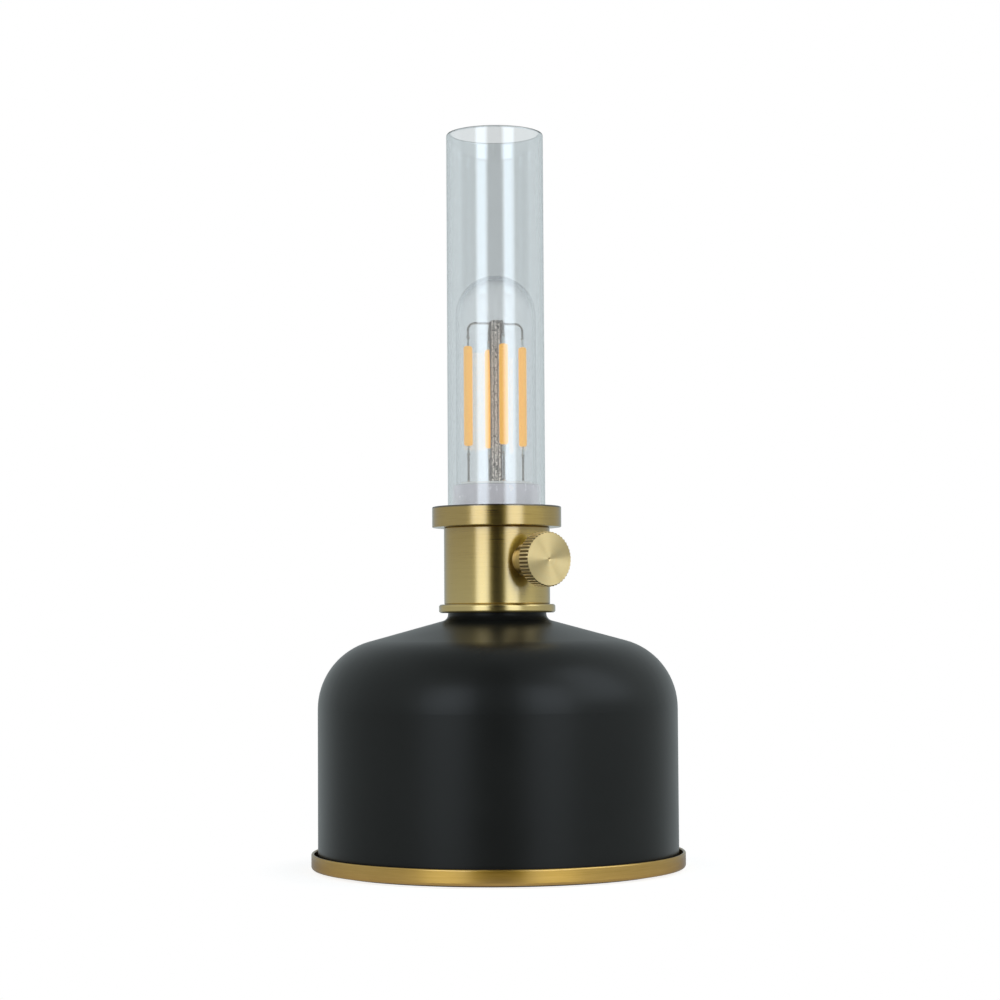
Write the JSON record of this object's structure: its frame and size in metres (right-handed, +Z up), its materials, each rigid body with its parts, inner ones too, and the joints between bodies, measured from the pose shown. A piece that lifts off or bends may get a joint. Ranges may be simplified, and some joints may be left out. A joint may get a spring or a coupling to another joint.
{
  "type": "led oil lantern",
  "caption": "Cordless table lantern in oil-lamp form: black dome on a brass tray, brass neck with knurled dimmer knob, and a clear glass chimney around a filament bulb.",
  "frame": {"origin": "centre of the surface that the lantern stands on", "axes": "+Z up along the chimney, -Y towards the dimmer knob, +Y towards the charge port"},
  "size_m": [0.152, 0.152, 0.3013],
  "materials": {
    "brass": "lathe-brushed antique brass",
    "black_paint": "satin black",
    "clear_glass": "clear, faintly grey-green",
    "clear_resin": "clear acrylic",
    "phosphor": "silicone coat with phosphor",
    "nickel": "nickel plate",
    "dark_wire": "oxidised wire",
    "white_board": "white solder mask",
    "green_board": "green solder mask",
    "zinc_steel": "zinc plate",
    "phenolic": "phenolic paper",
    "black_plastic": "moulded",
    "cell_wrap": "shrink wrap",
    "red_lead": "silicone insulation",
    "white_lead": "silicone insulation",
    "black_lead": "silicone insulation",
    "foam": "closed-cell foam"
  },
  "bodies": {
    "lantern": {"base_tray": "brass", "neck_ring": "brass", "neck_collar": "brass", "gallery_ring": "brass", "knob_ferrule": "brass", "body_dome": "black_paint", "bulb_glass": "clear_glass", "stem_tube": "clear_glass", "chimney_seat": "clear_resin", "led_filaments": "phosphor", "filament_pins": "nickel", "cell_contacts": "nickel", "charge_port": "nickel", "support_wires": "dark_wire", "stem_leads": "dark_wire", "stem_hub": "dark_wire", "led_board": "white_board", "driver_board": "green_board", "tie_rod": "zinc_steel", "tie_rod_nuts": "zinc_steel", "tie_rod_washers": "zinc_steel", "dimmer_bush": "zinc_steel", "dimmer_can": "zinc_steel", "carrier_screws": "zinc_steel", "board_screws": "zinc_steel", "dimmer_wafer": "phenolic", "cell_carrier": "black_plastic", "board_parts": "black_plastic", "port_bezel": "black_plastic", "battery_cells": "cell_wrap", "battery_leads": "red_lead", "led_leads": "white_lead", "dimmer_leads": "black_lead", "foot_pad": "foam"},
    "knob": {"dimmer_knob": "brass", "dimmer_spindle": "zinc_steel", "dimmer_rotor": "black_plastic", "knob_grub_screw": "zinc_steel"},
    "chimney": {"glass_chimney": "clear_glass"}
  },
  "joints": [
    {"name": "dimmer_turn", "type": "hinge", "parent": "lantern", "child": "knob", "pos_m": [0, -0.033, 0.125], "axis": [0, 1, 0], "range_deg": [0, 300]},
    {"name": "chimney_lift", "type": "slide", "parent": "lantern", "child": "chimney", "axis": [0, 0, 1], "range_m": [0, 0.1]}
  ]
}
